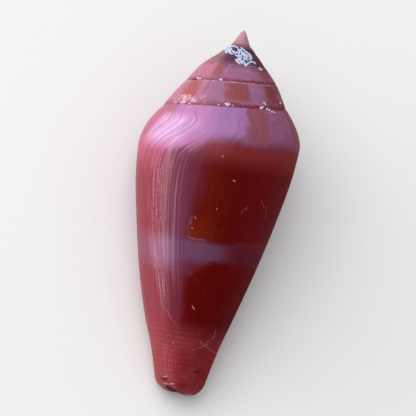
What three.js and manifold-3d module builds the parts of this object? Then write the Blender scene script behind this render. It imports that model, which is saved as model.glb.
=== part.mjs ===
// A cone shell: one coiled solid with a thin outer lip and a narrow open aperture.
//
// The shell is worked out about its coiling axis. A point on it has a depth, in millimetres
// down the axis from the apex, and an age, in turns back from the outer lip. Each turn starts
// at its suture, rises over a ramp to the shoulder and runs down the flank to the base. The
// next turn hides all but the ramp, so the ramps of the older turns make up the spire. The
// aperture is the space between the last turn's wall and the turn under it.

import * as THREE from 'three';
import { mergeVertices } from 'three/addons/utils/BufferGeometryUtils.js';
import Module from 'manifold-3d';

// Driving dimensions, in millimetres, turns and degrees.
const LENGTH = 35;
const LIP_SUTURE_DEPTH = 8.5;
const GROWTH_PER_TURN = 1.48;
const LIP_BEARING = 158.5;
const WALL = 0.45;
const GLAZE = 0.07;
const APERTURE_TURNS = 0.8;
const OPEN_BASE_TURNS = 0.34;
const CLOSED_BASE_TURNS = 0.6;
const ROOF_DEPTH = 0.35;
const BASE_OVERRUN = 0.6;
const LEAST_GAP = 0.12;
const STEP_AT_SUTURE = 0.015;
const LEDGE_START = 0.06;
const LEDGE_FADE = 1.5;
const RAMP_ROUNDNESS = 1.13;
const LAST_RAMP_ROUNDNESS = 0.8;
const LAST_RAMP_TURNS = 1.15;
const LIP_BELLY = 0.03;
const BELLY_RISE = 0.6;
const SINUS_TURNS = 0.0235;
const SINUS_PITCH = 8;

// How the shell lies: turned about its own axis, then tipped over on to its aperture side,
// where a shallow flat is rubbed.
const REST_ROLL = -10;
const REST_TILT = 78;
const RUBBED_FLAT = 0.1;

// Mesh density.
const COLUMNS = 64;
const SPIRE_TURNS = 5;
const CAP_ROWS = 4;
const RAMP_ROWS = 3;
const FLANK_ROWS = 15;
const LUMEN_LOOPS = 30;
const LUMEN_ROWS = 14;

// Spire outline: depth and radius where a suture crosses it.
const SPIRE = [
  [0, 0.03], [0.3, 0.28], [0.8, 0.53], [1.5, 0.88], [2.2, 1.63], [2.85, 2.24],
  [4.15, 3.66], [5.8, 4.61], [8.35, 6.26], [10, 7.13], [12.5, 8.1],
];

// Flank outline: share of the way from shoulder to base, and share of the shoulder's radius.
const FLANK = [
  [0, 1], [0.1, 0.983], [0.3, 0.894], [0.5, 0.779],
  [0.7, 0.614], [0.8, 0.506], [0.9, 0.417], [1, 0.341],
];
const OLD_FLANK_SLIMMING = 1.16;
const SLIMMING_REACH = 0.95;
const SLIMMING_POWER = 2.2;

// The base rounds off over the last part of the flank.
const RIM_START = 0.933;
const BLUNTNESS = 2.66;

// The tip of the spire leans a little to one side.
const TIP_LEAN = 0.22;
const TIP_LEAN_DEPTH = 3.9;

function clamp(value, low, high) {
  return Math.min(Math.max(value, low), high);
}

function smoothStep(from, to, value) {
  const s = clamp((value - from) / (to - from), 0, 1);
  return s * s * (3 - 2 * s);
}

// Slopes of a curve through points, flat wherever its direction turns.
function smoothSlopes(points, firstSlope) {
  const rises = points.slice(1).map(([x, y], i) => (y - points[i][1]) / (x - points[i][0]));
  return points.map((point, i) => {
    if (i === 0) return firstSlope ?? rises[0];
    if (i === points.length - 1) return rises[i - 1];
    const product = rises[i - 1] * rises[i];
    return product > 0 ? (2 * product) / (rises[i - 1] + rises[i]) : 0;
  });
}

// A function that follows a smooth curve through the points.
function smoothCurve(points, firstSlope) {
  const slopes = smoothSlopes(points, firstSlope);
  return (x) => {
    const next = clamp(points.findIndex((point) => point[0] > x), 1, points.length - 1);
    const i = x >= points.at(-1)[0] ? points.length - 2 : next - 1;
    const width = points[i + 1][0] - points[i][0];
    const s = clamp((x - points[i][0]) / width, 0, 1);
    const ends = points[i][1] * (1 + 2 * s) * (1 - s) ** 2 + points[i + 1][1] * s * s * (3 - 2 * s);
    return ends + width * s * (1 - s) * (slopes[i] * (1 - s) - slopes[i + 1] * s);
  };
}

const spireRadius = smoothCurve(SPIRE);
const flankShare = smoothCurve(FLANK, 0);

// Depth of the suture that starts the turn of this age.
function sutureDepth(age) {
  return LIP_SUTURE_DEPTH * GROWTH_PER_TURN ** -age;
}

// Radius of the ramp between a turn's own suture and the depth of its shoulder.
function rampRadius(age, depth) {
  const top = sutureDepth(age);
  const bottom = sutureDepth(age - 1);
  const topRadius = spireRadius(top);
  const along = clamp((depth - top) / (bottom - top), 0, 1);
  const roundness = RAMP_ROUNDNESS + LAST_RAMP_ROUNDNESS * clamp(1 - age / LAST_RAMP_TURNS, 0, 1);
  const rise = (spireRadius(bottom) - topRadius) * (1 - (1 - along) ** roundness);
  const lip = (1 - Math.exp(-along / LEDGE_START)) * (1 - along) ** LEDGE_FADE;
  const ledge = STEP_AT_SUTURE * topRadius * lip;
  return topRadius + rise + ledge;
}

// Radius of the flank before its end is rounded; older turns are slimmer towards the base.
function openFlankRadius(age, depth) {
  const shoulder = sutureDepth(age - 1);
  const share = clamp((depth - shoulder) / (LENGTH - shoulder), 0, 1);
  const slimming = 1 + OLD_FLANK_SLIMMING * (share / SLIMMING_REACH) ** SLIMMING_POWER;
  return spireRadius(shoulder) * flankShare(share) * slimming ** -age;
}

function turnRadius(age, depth) {
  const shoulder = sutureDepth(age - 1);
  if (depth <= shoulder) return rampRadius(age, depth);
  const share = (depth - shoulder) / (LENGTH - shoulder);
  const dome = clamp((share - RIM_START) / (1 - RIM_START), 0, 1);
  return openFlankRadius(age, depth) * (1 - dome ** BLUNTNESS) ** (1 / BLUNTNESS);
}

// Turns by which the edge of a growth stage lags behind: a belly down the flank and a sinus
// just below the suture.
function edgeLag(depth) {
  const below = (depth - LIP_SUTURE_DEPTH) / LIP_SUTURE_DEPTH;
  const swing = SINUS_PITCH * below;
  const sinus = below > 0 ? SINUS_TURNS * swing * Math.exp(1 - swing) : 0;
  const middle = clamp((depth - LIP_SUTURE_DEPTH) / (LENGTH - LIP_SUTURE_DEPTH), 0, 1);
  return sinus - LIP_BELLY * Math.sin(Math.PI * middle ** BELLY_RISE);
}

function place(age, depth, radius) {
  const bearing = THREE.MathUtils.degToRad(LIP_BEARING) + 2 * Math.PI * (age + edgeLag(depth));
  const lean = TIP_LEAN * Math.exp(-((Math.max(depth, 0) / TIP_LEAN_DEPTH) ** 2));
  return [radius * Math.cos(bearing) + lean, radius * Math.sin(bearing), LENGTH - depth];
}

// Even shares from 0 up to 1, with or without the last.
function spread(count, withLast = false) {
  return Array.from({ length: count + (withLast ? 1 : 0) }, (unused, i) => i / count);
}

// Depth and age of every point down one column of the outer surface, from apex to base.
function columnStations(age) {
  const capDepth = sutureDepth(SPIRE_TURNS);
  const stations = [];
  for (let turn = SPIRE_TURNS; turn >= 0; turn -= 1) {
    const top = turn === SPIRE_TURNS ? capDepth : sutureDepth(age + turn);
    const bottom = sutureDepth(age + turn - 1);
    for (const v of spread(RAMP_ROWS)) stations.push([age + turn, top + (bottom - top) * v]);
  }
  const shoulder = sutureDepth(age - 1);
  for (let row = 0; row <= FLANK_ROWS; row += 1) {
    const share = Math.sin((Math.PI / 2) * (row / FLANK_ROWS) ** 1.15);
    stations.push([age, shoulder + (LENGTH - shoulder) * share]);
  }
  return stations;
}

// The small cap over the first turns, drawn in to the apex.
function capStations(age) {
  const capDepth = sutureDepth(SPIRE_TURNS);
  const fit = turnRadius(age + SPIRE_TURNS, capDepth) / spireRadius(capDepth);
  return spread(CAP_ROWS).map((v) => {
    const depth = capDepth * v * v;
    return [age, depth, v === 0 ? 0 : spireRadius(depth) * fit];
  });
}

function outerColumn(age) {
  const cap = capStations(age);
  const turns = columnStations(age).map(([when, depth]) => [when, depth, turnRadius(when, depth)]);
  return [...cap, ...turns];
}

// Two triangles for each cell between neighbouring rows and columns of a grid of points.
function gridTriangles(columns, rows, firstPoint) {
  const triangles = [];
  for (let column = 0; column < columns; column += 1) {
    for (let row = 0; row < rows; row += 1) {
      const a = firstPoint + column * (rows + 1) + row;
      const b = a + rows + 1;
      triangles.push(a, a + 1, b, b, a + 1, b + 1);
    }
  }
  return triangles;
}

// The outside of the shell, with the step face where the last turn ends at the lip.
function outerMesh() {
  const points = [];
  for (let column = 0; column <= COLUMNS; column += 1) {
    const stations = outerColumn(column / COLUMNS);
    for (const [age, depth, radius] of stations) points.push(place(age, depth, radius));
  }
  const rows = points.length / (COLUMNS + 1) - 1;
  const triangles = gridTriangles(COLUMNS, rows, 0);
  const lastTurn = CAP_ROWS + SPIRE_TURNS * RAMP_ROWS;
  const lastColumn = COLUMNS * (rows + 1);
  for (let row = lastTurn; row < rows; row += 1) {
    const outer = row;
    const inner = lastColumn + Math.max(row, lastTurn + RAMP_ROWS);
    const nextInner = lastColumn + Math.max(row + 1, lastTurn + RAMP_ROWS);
    triangles.push(outer, inner, outer + 1, outer + 1, inner, nextInner);
  }
  return { points, triangles };
}

function unroundedRadius(age, depth) {
  return depth <= sutureDepth(age - 1) ? rampRadius(age, depth) : openFlankRadius(age, depth);
}

// One closed section of the space inside the last turn: down the turn below it, then back up
// along the inside of the wall. Past the open part of the base the section closes higher up.
function lumenSection(age) {
  const when = Math.max(age, 0);
  const inward = when / APERTURE_TURNS;
  const closing = smoothStep(OPEN_BASE_TURNS, CLOSED_BASE_TURNS, when);
  const top = sutureDepth(when) + ROOF_DEPTH;
  const bottom = LENGTH + BASE_OVERRUN - (6 + 4 * inward) * closing;
  return spread(LUMEN_ROWS, true).map((share) => {
    const depth = top + (bottom - top) * share;
    const inner = turnRadius(when + 1, Math.min(depth, LENGTH)) + GLAZE;
    const wallInside = unroundedRadius(when, Math.min(depth, LENGTH)) - WALL * (1 + inward);
    const roof = Math.sqrt(clamp(share / 0.06, 0, 1));
    const taper = 1 - closing * clamp((share - 0.8) / 0.2, 0, 1) ** 3;
    const gap = Math.max(wallInside - inner, LEAST_GAP) * roof * taper * (1 - inward ** 6);
    return [depth, inner, inner + Math.max(gap, LEAST_GAP / 6)];
  });
}

// The space inside, from just outside the lip to its end well inside the shell.
function lumenMesh() {
  const points = [];
  const around = 2 * (LUMEN_ROWS + 1);
  for (let loop = 0; loop <= LUMEN_LOOPS; loop += 1) {
    const age = -0.02 + (APERTURE_TURNS + 0.02) * (loop / LUMEN_LOOPS);
    const section = lumenSection(age);
    for (const [depth, inner] of section) points.push(place(age, depth, inner));
    for (const [depth, , outer] of section.toReversed()) points.push(place(age, depth, outer));
  }
  const triangles = [];
  for (let loop = 0; loop < LUMEN_LOOPS; loop += 1) {
    for (let i = 0; i < around; i += 1) {
      const a = loop * around + i;
      const b = loop * around + ((i + 1) % around);
      triangles.push(a, a + around, b, b, a + around, b + around);
    }
  }
  for (const first of [0, LUMEN_LOOPS * around]) {
    for (let i = 0; i < LUMEN_ROWS; i += 1) {
      const [a, b] = [first + i, first + i + 1];
      const [c, d] = [first + around - 1 - i, first + around - 2 - i];
      const face = [a, b, c, c, b, d];
      triangles.push(...(first === 0 ? face : face.toReversed()));
    }
  }
  return { points, triangles };
}

// A BufferGeometry with merged vertices and without the triangles that merging flattens.
function closedGeometry({ points, triangles }) {
  const loose = new THREE.BufferGeometry();
  loose.setAttribute('position', new THREE.Float32BufferAttribute(points.flat(), 3));
  loose.setIndex(triangles);
  const merged = mergeVertices(loose, 1e-4);
  const index = merged.getIndex().array;
  const kept = [];
  for (let i = 0; i < index.length; i += 3) {
    const [a, b, c] = index.slice(i, i + 3);
    if (a !== b && b !== c && c !== a) kept.push(a, b, c);
  }
  merged.setIndex(kept);
  return merged;
}

const wasm = await Module();
wasm.setup();

function solidFrom(mesh) {
  return solidOf(closedGeometry(mesh));
}

function solidOf(geometry) {
  const vertProperties = new Float32Array(geometry.getAttribute('position').array);
  const triVerts = new Uint32Array(geometry.getIndex().array);
  return new wasm.Manifold(new wasm.Mesh({ numProp: 3, vertProperties, triVerts }));
}

function geometryFrom(solid) {
  const { vertProperties, triVerts } = solid.getMesh();
  const geometry = new THREE.BufferGeometry();
  geometry.setAttribute('position', new THREE.BufferAttribute(vertProperties, 3));
  geometry.setIndex(new THREE.BufferAttribute(triVerts, 1));
  return geometry;
}

// The part of a solid above the flat that is rubbed on its underside.
function rubbed(geometry) {
  geometry.computeBoundingBox();
  const { min, max } = geometry.boundingBox;
  const room = 2 * LENGTH;
  const above = new THREE.BoxGeometry(room, room, room);
  above.translate(0, 0, min.z + RUBBED_FLAT + room / 2);
  const points = above.getAttribute('position');
  const corners = spread(points.count).map((share, i) => [points.getX(i), points.getY(i), points.getZ(i)]);
  const block = solidFrom({ points: corners, triangles: Array.from(above.getIndex().array) });
  const kept = geometryFrom(solidOf(geometry).intersect(block));
  return kept.translate(-(min.x + max.x) / 2, -(min.y + max.y) / 2, -(min.z + RUBBED_FLAT));
}

function lyingShell() {
  const coiled = geometryFrom(solidFrom(outerMesh()).subtract(solidFrom(lumenMesh())));
  coiled.rotateZ(THREE.MathUtils.degToRad(REST_ROLL));
  coiled.rotateX(THREE.MathUtils.degToRad(-REST_TILT));
  return rubbed(coiled);
}

const shell = new THREE.Mesh(
  lyingShell(),
  new THREE.MeshStandardMaterial({ color: 0x8a3a44, roughness: 0.35, metalness: 0 }),
);
shell.name = 'shell';

const object = new THREE.Group();
object.add(shell);

export default object;
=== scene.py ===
"""A cone shell lying on its aperture side, with its growth lines, blotches and apex crust."""
import math

import bpy
import numpy as np
from mathutils import Matrix, Vector


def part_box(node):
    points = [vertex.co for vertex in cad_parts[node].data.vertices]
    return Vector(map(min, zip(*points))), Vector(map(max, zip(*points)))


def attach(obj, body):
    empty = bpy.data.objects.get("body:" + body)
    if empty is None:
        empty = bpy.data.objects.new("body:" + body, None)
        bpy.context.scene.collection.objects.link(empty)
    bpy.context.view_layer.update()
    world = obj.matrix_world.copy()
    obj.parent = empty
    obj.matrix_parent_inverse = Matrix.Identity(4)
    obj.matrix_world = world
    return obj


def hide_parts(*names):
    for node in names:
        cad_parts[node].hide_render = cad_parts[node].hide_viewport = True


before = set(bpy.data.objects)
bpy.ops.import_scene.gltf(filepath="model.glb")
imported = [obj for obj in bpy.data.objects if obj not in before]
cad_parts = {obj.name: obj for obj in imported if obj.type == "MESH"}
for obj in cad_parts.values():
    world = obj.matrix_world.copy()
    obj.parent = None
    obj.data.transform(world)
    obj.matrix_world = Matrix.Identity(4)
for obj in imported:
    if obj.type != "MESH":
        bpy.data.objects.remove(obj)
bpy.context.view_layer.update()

MM = 0.001
TAU = 2 * math.pi

# The coil, in millimetres and turns. A depth runs down the coiling axis from the apex, an age
# counts the turns back from the outer lip, and a bearing is an angle round the axis.
LENGTH = 35.0
LIP_SUTURE_DEPTH = 8.5
GROWTH_PER_TURN = 1.48
LIP_BEARING = math.radians(158.5)
STEP_AT_SUTURE = 0.015
LEDGE_START = 0.06
LEDGE_FADE = 1.5
RAMP_ROUNDNESS = 1.13
LAST_RAMP_ROUNDNESS = 0.8
LAST_RAMP_TURNS = 1.15
OLD_FLANK_SLIMMING = 1.16
SLIMMING_REACH = 0.95
SLIMMING_POWER = 2.2
LIP_BELLY = 0.03
BELLY_RISE = 0.6
SINUS_TURNS = 0.0235
SINUS_PITCH = 8.0
RIM_START = 0.933
BLUNTNESS = 2.66
TIP_LEAN = 0.22
TIP_LEAN_DEPTH = 3.9

# The mouth, in millimetres, turns and shares. Its wall thickens with age up to a share of the
# room there is, and the mouth is closed after MOUTH_TURNS.
WALL = 0.42
THICKEST_WALL = 0.6
LIP_EDGE_TURNS = 0.0042
MOUTH_TURNS = 0.42
CLOSING_START = 0.08
LOW_MOUTH_START = 0.3
ROOF_ROUNDING = 0.7
LEAST_OPENING = 0.02
MOUTH_RIM = 0.85
RIM_BULGE = 0.35

# Spire outline: depth and radius where a suture crosses it.
SPIRE = np.array([
    (0, 0.03), (0.3, 0.28), (0.8, 0.53), (1.5, 0.88), (2.2, 1.63), (2.85, 2.24),
    (4.15, 3.66), (5.8, 4.61), (8.35, 6.26), (10, 7.13), (12.5, 8.1)])

# Flank outline: share of the way from shoulder to base, and share of the shoulder's radius.
FLANK = np.array([
    (0, 1), (0.1, 0.983), (0.3, 0.894), (0.5, 0.779),
    (0.7, 0.614), (0.8, 0.506), (0.9, 0.417), (1, 0.341)])

# How the shell lies: turned about its own axis, then tipped over on to its aperture side.
REST_ROLL = math.radians(-10)
REST_TILT = math.radians(78)
LYING = Matrix.Rotation(-REST_TILT, 3, "X") @ Matrix.Rotation(REST_ROLL, 3, "Z")

# Relief. A ripple is a seed, a number of waves, the range of their waves a turn and how much
# they slant for a millimetre of depth. Heights, depths and pitches are in millimetres.
GROWTH_LINES = (11, 12, (40, 130), 0.05)
LINE_HEIGHT = 0.009
GROWTH_WAVES = (12, 7, (6, 18), 0.012)
WAVE_HEIGHT = 0.018
CORD_WANDER = (13, 4, (2, 6), 0.02)
CORD_WANDER_SHARE = 0.30
CORD_HEIGHT = 0.012
CORD_PITCH = 0.55
CORD_DEPTHS = (25.5, 31)
SUTURE_BEADS = (14, 6, (18, 46), 0.2)
BEAD_HEIGHT = 0.030
BEAD_REACH = 0.10
FULL_RELIEF_DEPTH = 9
LEAST_RELIEF = 0.05

# Chips at the base: how deep, the age and depth of the middle, half the width each way, and the
# squareness of the outline. One is a deep hollow at the edge, the other a shallow one above it.
CHIPS = [(0.34, (0.199, 34.5), (0.034, 0.30), 3), (0.12, (0.150, 33.65), (0.018, 0.16), 2)]

# Mesh density.
COLUMNS = 318
LIP_EDGE_COLUMNS = 5
SPIRE_TURNS = 5
CAP_ROWS = 8
RAMP_ROWS = 16
FLANK_ROWS = 96
RIM_ROWS = 5
DOME_ROWS = 6
ROOF_ROW = 3
FLANK_CROWDING = 1.1
WELD_DECIMALS = 4


# ---------------------------------------------------------------- shape of the coil

def smooth_step(low, high, value):
    share = np.clip((value - low) / (high - low), 0, 1)
    return share * share * (3 - 2 * share)


def smooth_curve(points, first_slope=None):
    """A function that follows a cubic through the points, level wherever they turn back."""
    x, y = points[:, 0], points[:, 1]
    width = np.diff(x)
    rise = np.diff(y) / width
    slopes = np.empty_like(y)
    slopes[0] = rise[0] if first_slope is None else first_slope
    slopes[-1] = rise[-1]
    product = rise[:-1] * rise[1:]
    slopes[1:-1] = np.where(product > 0, 2 * product / (rise[:-1] + rise[1:] + 1e-12), 0)

    def value(at):
        i = np.clip(np.searchsorted(x, at, side="right") - 1, 0, len(x) - 2)
        s = np.clip((at - x[i]) / width[i], 0, 1)
        ends = y[i] * (1 + 2 * s) * (1 - s) ** 2 + y[i + 1] * s * s * (3 - 2 * s)
        return ends + width[i] * s * (1 - s) * (slopes[i] * (1 - s) - slopes[i + 1] * s)

    return value


spire_radius = smooth_curve(SPIRE)
flank_share = smooth_curve(FLANK, 0)


def suture_depth(age):
    """Depth of the suture that starts the turn of this age: it shrinks by a fixed ratio a turn."""
    return LIP_SUTURE_DEPTH * GROWTH_PER_TURN ** -age


def ramp_radius(age, depth):
    """From the suture's radius to the shoulder's, rising fast at first and then levelling."""
    top, bottom = suture_depth(age), suture_depth(age - 1)
    top_radius = spire_radius(top)
    along = np.clip((depth - top) / (bottom - top), 0, 1)
    roundness = RAMP_ROUNDNESS + LAST_RAMP_ROUNDNESS * np.clip(1 - age / LAST_RAMP_TURNS, 0, 1)
    rise = (spire_radius(bottom) - top_radius) * (1 - (1 - along) ** roundness)
    ledge = STEP_AT_SUTURE * top_radius * (1 - np.exp(-along / LEDGE_START))
    return top_radius + rise + ledge * (1 - along) ** LEDGE_FADE


def blunt(share):
    """From 1 at the start of the rounded base to 0 at its end, along a squarish ellipse."""
    return np.maximum(1 - share ** BLUNTNESS, 0) ** (1 / BLUNTNESS)


def flank_radius(age, depth):
    """The shoulder's radius times the flank outline, slimmer towards the base on older turns,
    and rounded off at the base by a quarter of an ellipse."""
    shoulder = suture_depth(age - 1)
    share = np.clip((depth - shoulder) / (LENGTH - shoulder), 0, 1)
    slimming = 1 + OLD_FLANK_SLIMMING * (share / SLIMMING_REACH) ** SLIMMING_POWER
    dome = np.clip((share - RIM_START) / (1 - RIM_START), 0, 1)
    outline = spire_radius(shoulder) * flank_share(share) * slimming ** -age
    return outline * blunt(dome)


def turn_radius(age, depth):
    return np.where(depth <= suture_depth(age - 1), ramp_radius(age, depth), flank_radius(age, depth))


def edge_lag(depth):
    """Turns by which a growth edge lags behind: more just below the suture, where the lip has
    its sinus, and less on the flank, where the lip bellies forward."""
    below = np.maximum(depth - LIP_SUTURE_DEPTH, 0) / LIP_SUTURE_DEPTH
    sinus = SINUS_TURNS * SINUS_PITCH * below * np.exp(1 - SINUS_PITCH * below)
    middle = np.clip((depth - LIP_SUTURE_DEPTH) / (LENGTH - LIP_SUTURE_DEPTH), 0, 1)
    return sinus - LIP_BELLY * np.sin(math.pi * middle ** BELLY_RISE)


def place(age, depth, radius):
    """Points about the coiling axis, with the axis along Z and the apex up."""
    bearing = LIP_BEARING + TAU * (age + edge_lag(depth))
    lean = TIP_LEAN * np.exp(-(np.maximum(depth, 0) / TIP_LEAN_DEPTH) ** 2)
    return np.stack([radius * np.cos(bearing) + lean, radius * np.sin(bearing), LENGTH - depth], -1)


# ---------------------------------------------------------------- relief on the surface

def ripple(age, depth, seed, count, across, along):
    """A sum of sine waves of seeded pitch and phase, across turns along the growth edges."""
    random = np.random.default_rng(seed)
    pitches = random.uniform(*across, count)
    slants = random.normal(0, along, count)
    phases = random.uniform(0, TAU, count)
    total = 0
    for pitch, slant, phase in zip(pitches, slants, phases):
        total = total + np.sin(TAU * (pitch * age + slant * depth) + phase)
    return total / math.sqrt(count)


def relief(age, depth):
    """Growth lines over the whole surface, low cords round the base, small beads along the
    suture and the chips, in millimetres. All but the cords and chips are lower on the spire."""
    lines = LINE_HEIGHT * ripple(age, depth, *GROWTH_LINES)
    waves = WAVE_HEIGHT * ripple(age, depth, *GROWTH_WAVES)
    along = (depth - suture_depth(age)) / (suture_depth(age - 1) - suture_depth(age))
    near_suture = np.exp(-(np.maximum(along, 0) / BEAD_REACH) ** 2)
    beads = BEAD_HEIGHT * near_suture * ripple(age, depth, *SUTURE_BEADS)
    size = np.clip(depth / FULL_RELIEF_DEPTH, LEAST_RELIEF, 1)
    wander = CORD_WANDER_SHARE * ripple(age, depth, *CORD_WANDER)
    cords = CORD_HEIGHT * smooth_step(*CORD_DEPTHS, depth) * np.sin(TAU * (depth / CORD_PITCH + wander))
    return (lines + waves + beads) * size + cords - chips(age, depth)


def chips(age, depth):
    """How deep the chips are: each falls off smoothly from its middle."""
    total = 0
    for deep, (at_age, at_depth), (wide, tall), squareness in CHIPS:
        off_age = np.abs((age - at_age) / wide) ** squareness
        off_depth = np.abs((depth - at_depth) / tall) ** squareness
        total = total + deep * np.exp(-off_age - off_depth)
    return total


# ---------------------------------------------------------------- the shell's mesh

def column_ages():
    """Ages of the mesh columns: close together at the lip, whose edge is round, then even."""
    swing = np.linspace(0, math.pi / 2, LIP_EDGE_COLUMNS, endpoint=False)
    lip = LIP_EDGE_TURNS * (1 - np.cos(swing))
    return np.concatenate([lip, np.linspace(LIP_EDGE_TURNS, 1, COLUMNS)])


def lip_rounding(age):
    """Half the wall's thickness at the lip, as a share of the full one: a quarter circle."""
    return np.sqrt(1 - np.clip(1 - age / LIP_EDGE_TURNS, 0, 1) ** 2)


def end_depth(age):
    """Depth of the open edge at the base, a little short of the base's end."""
    shoulder = suture_depth(age - 1)
    return shoulder + (LENGTH - shoulder) * (RIM_START + MOUTH_RIM * (1 - RIM_START))


def flank_depths(age):
    """Depths down the flank, closer together where it rounds off at the base."""
    shoulder = suture_depth(age - 1)
    share = np.sin(math.pi / 2 * np.linspace(0, 1, FLANK_ROWS + 1) ** FLANK_CROWDING)
    return shoulder + (end_depth(age) - shoulder) * share[:, None]


def even_depths(top, bottom):
    return top + (bottom - top) * (np.arange(RAMP_ROWS) / RAMP_ROWS)[:, None]


def ramp_depths(age):
    return even_depths(suture_depth(age), suture_depth(age - 1))


def outside(age, depth):
    """Radius of the outer surface."""
    return turn_radius(age, depth) + relief(age, depth)


def rows_of(age, depth, radius):
    """Rows of points, as ages, depths and radii of one shape."""
    return 0 * depth + age, depth, radius


def cap_rows(age):
    """The tip, from the apex down to where the oldest turn's ramp begins."""
    cap_depth = suture_depth(SPIRE_TURNS)
    share = (np.arange(CAP_ROWS) / CAP_ROWS)[:, None]
    fit = turn_radius(age + SPIRE_TURNS, cap_depth) / spire_radius(cap_depth)
    depth = cap_depth * share ** 2 + 0 * age
    return rows_of(age, depth, np.where(share > 0, spire_radius(depth), 0) * fit)


def spire_rows(age, turn):
    """The ramp of an older turn. The oldest one starts level, at the foot of the tip."""
    depth = ramp_depths(age + turn)
    if turn == SPIRE_TURNS:
        depth = even_depths(suture_depth(SPIRE_TURNS), suture_depth(age + turn - 1))
    when = 0 * depth + age + turn
    return when, depth, outside(when, depth)


class Mouth:
    """The last turn's wall, the turn inside it and the mouth between them, for columns of these
    ages. Where the mouth has closed, the rows inside it shrink on to the edge at the base."""

    def __init__(self, age):
        self.age = age
        self.closing = smooth_step(CLOSING_START, MOUTH_TURNS, age)
        self.height = 1 - smooth_step(LOW_MOUTH_START * MOUTH_TURNS, MOUTH_TURNS, age)
        self.edge = lip_rounding(age)
        self.last = end_depth(age)
        self.inner_last = end_depth(age + 1) + (self.last - end_depth(age + 1)) * self.closing
        self.depth = np.concatenate([ramp_depths(age), flank_depths(age)])

    def under(self, depth):
        """Radius of the turn inside, which swells to meet the wall as the mouth closes."""
        inside = outside(self.age + 1, depth)
        return inside + (outside(self.age, depth) - inside) * self.closing

    def wall_inside(self, depth, roof):
        """Inner side of the wall, which meets the turn inside in a rounded roof."""
        room = outside(self.age, depth) - self.under(depth)
        wall = np.minimum(WALL * (1 + self.age), THICKEST_WALL * room)
        opening = np.sqrt(np.clip((depth - roof) / ROOF_ROUNDING, LEAST_OPENING, 1))
        return self.under(depth) + (room - wall) * opening

    def towards_lip(self, depth, radius, roof):
        """The radius drawn in to the middle of the wall where the lip's edge is round."""
        middle = (outside(self.age, depth) + self.wall_inside(depth, roof)) / 2
        return middle + (radius - middle) * self.edge

    def wall(self):
        """Down the wall's outside, round its edge at the base and up its inside to the roof."""
        outer = self.towards_lip(self.depth, outside(self.age, self.depth), self.depth[ROOF_ROW])
        roof = self.last - (self.last - self.depth[ROOF_ROW]) * self.height
        folded = self.last - (self.last - self.depth) * self.height
        inner_depth = folded[:ROOF_ROW - 1:-1]
        inner = self.towards_lip(inner_depth, self.wall_inside(inner_depth, roof), roof)
        return [rows_of(self.age, self.depth, outer), self.rim(outer[-1], inner[0]),
                rows_of(self.age, inner_depth, inner)]

    def rim(self, outer, inner):
        """Half round the wall's edge at the base."""
        swing = (np.arange(1, RIM_ROWS) / RIM_ROWS)[:, None] * math.pi
        half = (outer - inner) / 2
        depth = self.last + RIM_BULGE * half * np.sin(swing)
        return rows_of(self.age, depth, (outer + inner) / 2 + half * np.cos(swing))

    def turn_inside(self):
        """Down the turn inside, then over its rounded base in to the axis."""
        full_depth = flank_depths(self.age + 1)[ROOF_ROW:]
        depth = self.inner_last - (self.inner_last - full_depth) * self.height
        radius = self.under(depth)
        share = (np.arange(1, DOME_ROWS + 1) / DOME_ROWS)[:, None]
        dome = MOUTH_RIM + (1 - MOUTH_RIM) * np.sin(share * math.pi / 2)
        dome_depth = self.inner_last + (LENGTH - self.inner_last) * (dome - MOUTH_RIM) / (1 - MOUTH_RIM)
        dome_radius = radius[-1] * blunt(dome) / blunt(MOUTH_RIM)
        return [rows_of(self.age + 1, depth, radius), rows_of(self.age + 1, dome_depth, dome_radius)]


def shell_rows(age):
    """Rows of points for the columns of these ages. Each column runs from the apex over the
    spire, down the last turn to the base's edge, round that edge, up the inside of the wall to
    the roof of the mouth, down the turn inside and in to the axis."""
    mouth = Mouth(age)
    spire = [spire_rows(age, turn) for turn in range(SPIRE_TURNS, 0, -1)]
    rows = [cap_rows(age)] + spire + mouth.wall() + mouth.turn_inside()
    return [np.concatenate(parts) for parts in zip(*rows)]


OUTER_START = CAP_ROWS + SPIRE_TURNS * RAMP_ROWS
INNER_START = OUTER_START + RAMP_ROWS + FLANK_ROWS + RIM_ROWS


def grid_triangles(rows, columns):
    """Triangles between neighbouring rows and columns, and those at the top of the lip, where
    the first column stands free of the last one."""
    index = np.arange(rows * columns).reshape(rows, columns)
    a, b = index[:-1, :-1], index[1:, :-1]
    c, d = index[:-1, 1:], index[1:, 1:]
    cells = [np.stack([a, b, c], -1), np.stack([c, b, d], -1)]
    lip = index[OUTER_START:OUTER_START + ROOF_ROW + 1, 0]
    older = index[OUTER_START + RAMP_ROWS:OUTER_START + RAMP_ROWS + ROOF_ROW + 1, -1]
    upper = np.stack([lip[:-1], older[:-1], lip[1:]], -1)
    lower = np.stack([lip[1:], older[:-1], older[1:]], -1)
    return np.concatenate([part.reshape(-1, 3) for part in cells + [upper, lower]])


def weld(points, faces, decimals):
    """The points to keep once equal ones are joined, and the faces that haven't vanished."""
    rounded = np.round(points, decimals)
    kept, joined = np.unique(rounded, axis=0, return_index=True, return_inverse=True)[1:]
    faces = joined.reshape(-1)[faces]
    whole = (faces[:, 0] != faces[:, 1]) & (faces[:, 1] != faces[:, 2]) & (faces[:, 2] != faces[:, 0])
    return kept, faces[whole]


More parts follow.
